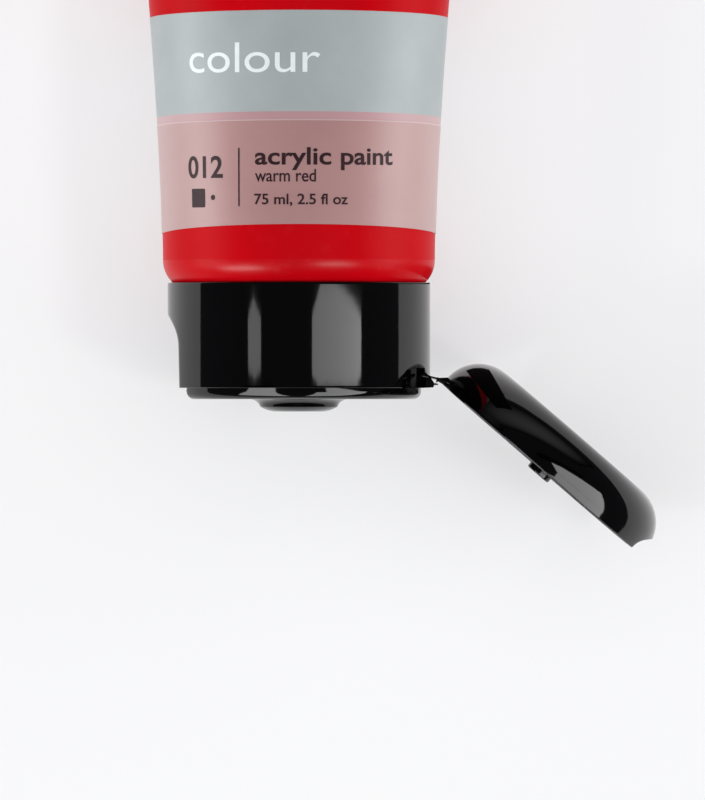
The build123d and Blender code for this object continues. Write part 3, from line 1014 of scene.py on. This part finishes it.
make_sleeve(satin_red)
make_head(gloss_red)
make_skin("grey_print", GREY_LOW, GREY_HIGH, grey_ink(), ["grey_band"])
make_skin(
    "pink_label", PINK_LOW, GREY_LOW, label_film(*FILM_EDGE), ["colour_label"],
    step=FILM_EDGE,
)
make_skirt(black_outer)
make_collar(black_outer)
make_nozzle(black_outer)
make_lid(black_outer)
make_plug(black_inner)
make_ring(black_inner)
make_hinge(black_flex)

write("print_large_word", "colour", 5.6, -15.4, 43.4, white_ink, ON_GREY, 0.0, 18.2)
for name, words, size, s, y, bold, width in (
    ("number", "012", 3.9, -16.1, 29.95, 0.07, 5.9),
    ("title", "acrylic paint", 3.1, -5.65, 31.6, 0.06, 18.75),
    ("tint", "warm red", 2.3, -5.65, 29.4, 0.02, 7.9),
    ("volume", "75 ml, 2.5 fl oz", 1.9, -5.75, 26.5, 0.03, 12.2),
):
    write(f"print_{name}", words, size, s, y, dark_ink, ON_PINK, bold, width)
for name, s, y, half_s, half_y, power in (
    ("square", -14.27, 27.33, 1.2, 1.2, 24.0),
    ("dot", -11.76, 27.4, 0.34, 0.34, 2.0),
    ("rule", -7.85, 29.98, 0.10, 3.73, 24.0),
):
    block(f"print_{name}", s, y, half_s, half_y, dark_ink, power)

black_nodes = {
    "threaded_barrel": black_inner, "cap_webs": black_inner, "cap_hinge_block": black_flex,
    "hinge_film": black_flex, "cap_strap_tabs": black_flex, "catch_bead": black_inner,
    "lid_hinge_block": black_flex, "lid_strap_tabs": black_flex,
}
pale_nodes = {"plug_seal": natural_plastic(), "paint_fill": wet_paint()}
for node, finish in {**black_nodes, **pale_nodes}.items():
    frame["nodes"][node].data.materials.clear()
    frame["nodes"][node].data.materials.append(finish)
black_names = [frame["nodes"][node].name for node in black_nodes]
pale_names = [frame["nodes"][node].name for node in pale_nodes]


# ---- table, lights and camera ---------------------------------------------------------
CAMERA_HEIGHT = 2000.0
CARD_HEIGHT = 100.0
LAMP_DISTANCE = 1.4
LOOK_AT = (6.9, 1.5)


def make_table():
    """Plain pale table, a wide flat sheet at the object's lowest point. It glows a little,
    as a lit sheet of acrylic does, so that shadows on it stay soft."""
    made = Recipe("pale_table", ior=1.45, emission_strength=0.585)
    drift = made.noise(3, 3)
    made.colour(made.blend(drift, (0.42, 0.42, 0.425), (0.45, 0.45, 0.45)))
    glow = made.blend(drift, (0.83, 0.83, 0.85), (0.87, 0.87, 0.88))
    made.feed(made.shader.inputs["Emission Color"], glow)
    made.rough(0.75 + drift * 0.1)
    made.bump(made.noise(1200, 2), 0.01)
    height = floor_height * MM
    left, right, near, far = -0.26, 0.20, -0.45, 0.40
    mesh = bpy.data.meshes.new("table")
    mesh.from_pydata(
        [(left, near, height), (right, near, height), (right, far, height), (left, far, height)],
        [], [(0, 1, 2, 3)],
    )
    mesh.materials.append(made.material)
    table = bpy.data.objects.new("table", mesh)
    bpy.context.scene.collection.objects.link(table)


def area_light(name, towards, along, length, width, radiance, seen_by):
    """A soft area light in that direction, aimed at the cap, with its long side turned to
    another direction. It lights one group of pieces."""
    lamp = bpy.data.lights.new(name, "AREA")
    lamp.shape = "RECTANGLE"
    lamp.size, lamp.size_y = width, length
    lamp.energy = radiance * length * width * math.pi
    holder = bpy.data.objects.new(name, lamp)
    out = Vector(towards).normalized()
    across = Vector(along).cross(out).normalized()
    upright = out.cross(across)
    holder.matrix_world = Matrix((across, upright, out)).transposed().to_4x4()
    holder.location = out * LAMP_DISTANCE
    holder.light_linking.receiver_collection = bpy.data.collections[seen_by]
    bpy.context.scene.collection.objects.link(holder)
    return holder


def mirrored(spot, normal):
    """Where a ray from the camera that meets a glossy wall at that spot lands on the plane
    of the cards, once the wall has mirrored it."""
    ray = spot - np.array([*LOOK_AT, CAMERA_HEIGHT])
    ray -= 2 * (ray @ normal) * normal
    return spot + ray * (CARD_HEIGHT - spot[2]) / ray[2]


def seen_on_skirt(x, y):
    """Card point whose mirror image lies at (x, y) on the cap's wall."""
    normal = np.array([x / cap_radius, 0, math.sqrt(1 - (x / cap_radius) ** 2)])
    return mirrored(normal * cap_radius + np.array([0, y, 0]), normal)


def card(name, spots, left, right, seen_by, soft=False):
    """A glowing reflector card through those corners, seen by some glossy pieces only. Its
    glow runs from left to right, and a soft card fades out towards its rim."""
    made = Recipe(name, base_color=(0, 0, 0, 1), roughness=1.0, emission_strength=1.0)
    corners = np.array(spots) * MM
    low, high = corners.min(axis=0), corners.max(axis=0)
    share = made.x.between(low[0], high[0])
    glow = made.blend(share, (left,) * 3, (right,) * 3)
    if soft:
        rise = made.z.between(low[2], high[2])
        fade = (share * (1 - share) * 4).power(1.5) * (rise * (1 - rise) * 4).power(1.5)
        glow = made.blend(fade, (0, 0, 0), glow)
    made.feed(made.shader.inputs["Emission Color"], glow)
    mesh = bpy.data.meshes.new(name)
    mesh.from_pydata(corners.tolist(), [], [list(range(len(corners)))])
    mesh.materials.append(made.material)
    piece = bpy.data.objects.new(name, mesh)
    bpy.context.scene.collection.objects.link(piece)
    piece.visible_camera = False
    piece.visible_shadow = False
    piece.visible_diffuse = False
    piece.light_linking.receiver_collection = bpy.data.collections[seen_by]


def make_lights():
    """Soft lights for the satin red and the table, and small cards whose mirror images are the bright
    patches on the black cap. One unlit black card beside the tube is seen only in the black pieces'
    reflections, as painted shade on the lid."""
    down = (0, 1, 0)
    area_light("softbox_right", (0.50, -0.25, 0.83), down, 0.22, 0.17, 22.0, "satin_parts")
    area_light("strip_left", (-0.70, -0.33, 0.63), down, 0.17, 0.17, 26.0, "satin_parts")
    area_light("side_right", (0.99, 0, 0.14), down, 1.2, 0.8, 5.0, "satin_parts")
    area_light("side_left", (-0.99, 0, 0.14), down, 1.2, 0.8, 5.0, "satin_parts")
    fill = area_light("fill_above", (0, 0, 1), down, 2.2, 2.2, 1.30, "satin_parts")
    fill.visible_glossy = False
    spot, along = (-0.696, -0.495, 0.52), (0.58, -0.12, 0.67)
    left = area_light("gleam_left", spot, along, 0.8, 0.2, 60.0, "gleam_parts")
    spot, along = (0.51, -0.30, 0.81), (0.63, 0.03, -0.39)
    right = area_light("gleam_right", spot, along, 0.75, 0.2, 40.0, "gleam_parts")
    left.visible_diffuse = False
    right.visible_diffuse = False
    edge = [(2.6, 3.2), (1.75, 4.6), (1.75, 12.4), (2.9, 16.7)]
    edge += [(4.9, 16.7), (8.0, 12.4), (8.0, 5.0), (7.4, 3.2)]
    card("card_skirt_right", [seen_on_skirt(x, y) for x, y in edge], 2.9, 5.2, "skirt_parts")
    edge = [(-5.75, 14.6), (-4.8, 12.2), (-4.8, 5.2), (-5.6, 4.1), (-6.4, 5.2), (-6.45, 12.2)]
    card("card_skirt_left", [seen_on_skirt(x, y) for x, y in edge], 2.4, 2.4, "skirt_parts")
    low = [(-100, 3.2), (-37, 3.2), (-30, -300), (-300, -300)]
    card("card_low_left", [(x, y, CARD_HEIGHT) for x, y in low], 3.6, 4.8, "mirror_parts")
    low = [(44, 3.2), (65, 3.2), (109, -4.5), (219, -28.6), (221, -71), (199, -149), (150, -300)]
    low += [(20, -300), (28, -24), (45, -22), (46.4, -18.5)]
    card("card_low_right", [(x, y, CARD_HEIGHT) for x, y in low], 4.0, 5.4, "mirror_parts")
    back = [(-500, 350, 30), (700, 350, 30), (700, 350, 460), (-500, 350, 460)]
    card("card_back", back, 0.5, 0.5, "mirror_parts", soft=True)
    # painted shade: an unlit black sheet beside the tube, seen only in the black pieces' reflections, so
    # the lid mirrors dark there instead of the red tube
    dark = [(16.7, 16.8, -17.3), (26, 17, -17.3), (26, 17, 19), (16.7, 16.8, 19)]
    card("card_dark", dark, 0.0, 0.0, "mirror_parts")
    world = bpy.data.worlds.new("room")
    bpy.context.scene.world = world
    world.use_nodes = True
    tree = world.node_tree
    seen = add_node(tree, "ShaderNodeLightPath")
    dim = add_node(tree, "ShaderNodeBackground", {}, {0: (0.9, 0.92, 1.0), 1: 0.06})
    pale = add_node(tree, "ShaderNodeBackground", {}, {0: (0.80, 0.80, 0.82)})
    inputs = {0: seen.outputs["Is Camera Ray"], 1: dim.outputs[0], 2: pale.outputs[0]}
    mix = add_node(tree, "ShaderNodeMixShader", {}, inputs)
    feed(tree, tree.nodes["World Output"].inputs[0], mix.outputs[0])


def make_camera():
    """A long lens straight above the nozzle."""
    picture_height = 800
    dots_per_mm = 7.77
    data = bpy.data.cameras.new("camera")
    data.sensor_width = 36
    data.lens = dots_per_mm * CAMERA_HEIGHT / picture_height * data.sensor_width
    data.clip_end = 20
    holder = bpy.data.objects.new("camera", data)
    holder.location = Vector((*LOOK_AT, CAMERA_HEIGHT)) * MM
    bpy.context.scene.collection.objects.link(holder)
    bpy.context.scene.camera = holder


make_table()
groups = {
    "satin_parts": ("tube_", "grey_", "pink_", "print_", "table", *pale_names),
    "gleam_parts": ("tube_shoulder",),
    "skirt_parts": ("cap_skirt",),
    "mirror_parts": ("cap_collar", "lid_", "hinge_", *black_names),
}
for group, starts in groups.items():
    members = bpy.data.collections.new(group)
    for piece in bpy.context.scene.objects:
        if piece.type == "MESH" and piece.name.startswith(starts):
            members.objects.link(piece)
make_lights()
make_camera()
bpy.context.scene.view_settings.view_transform = "Standard"
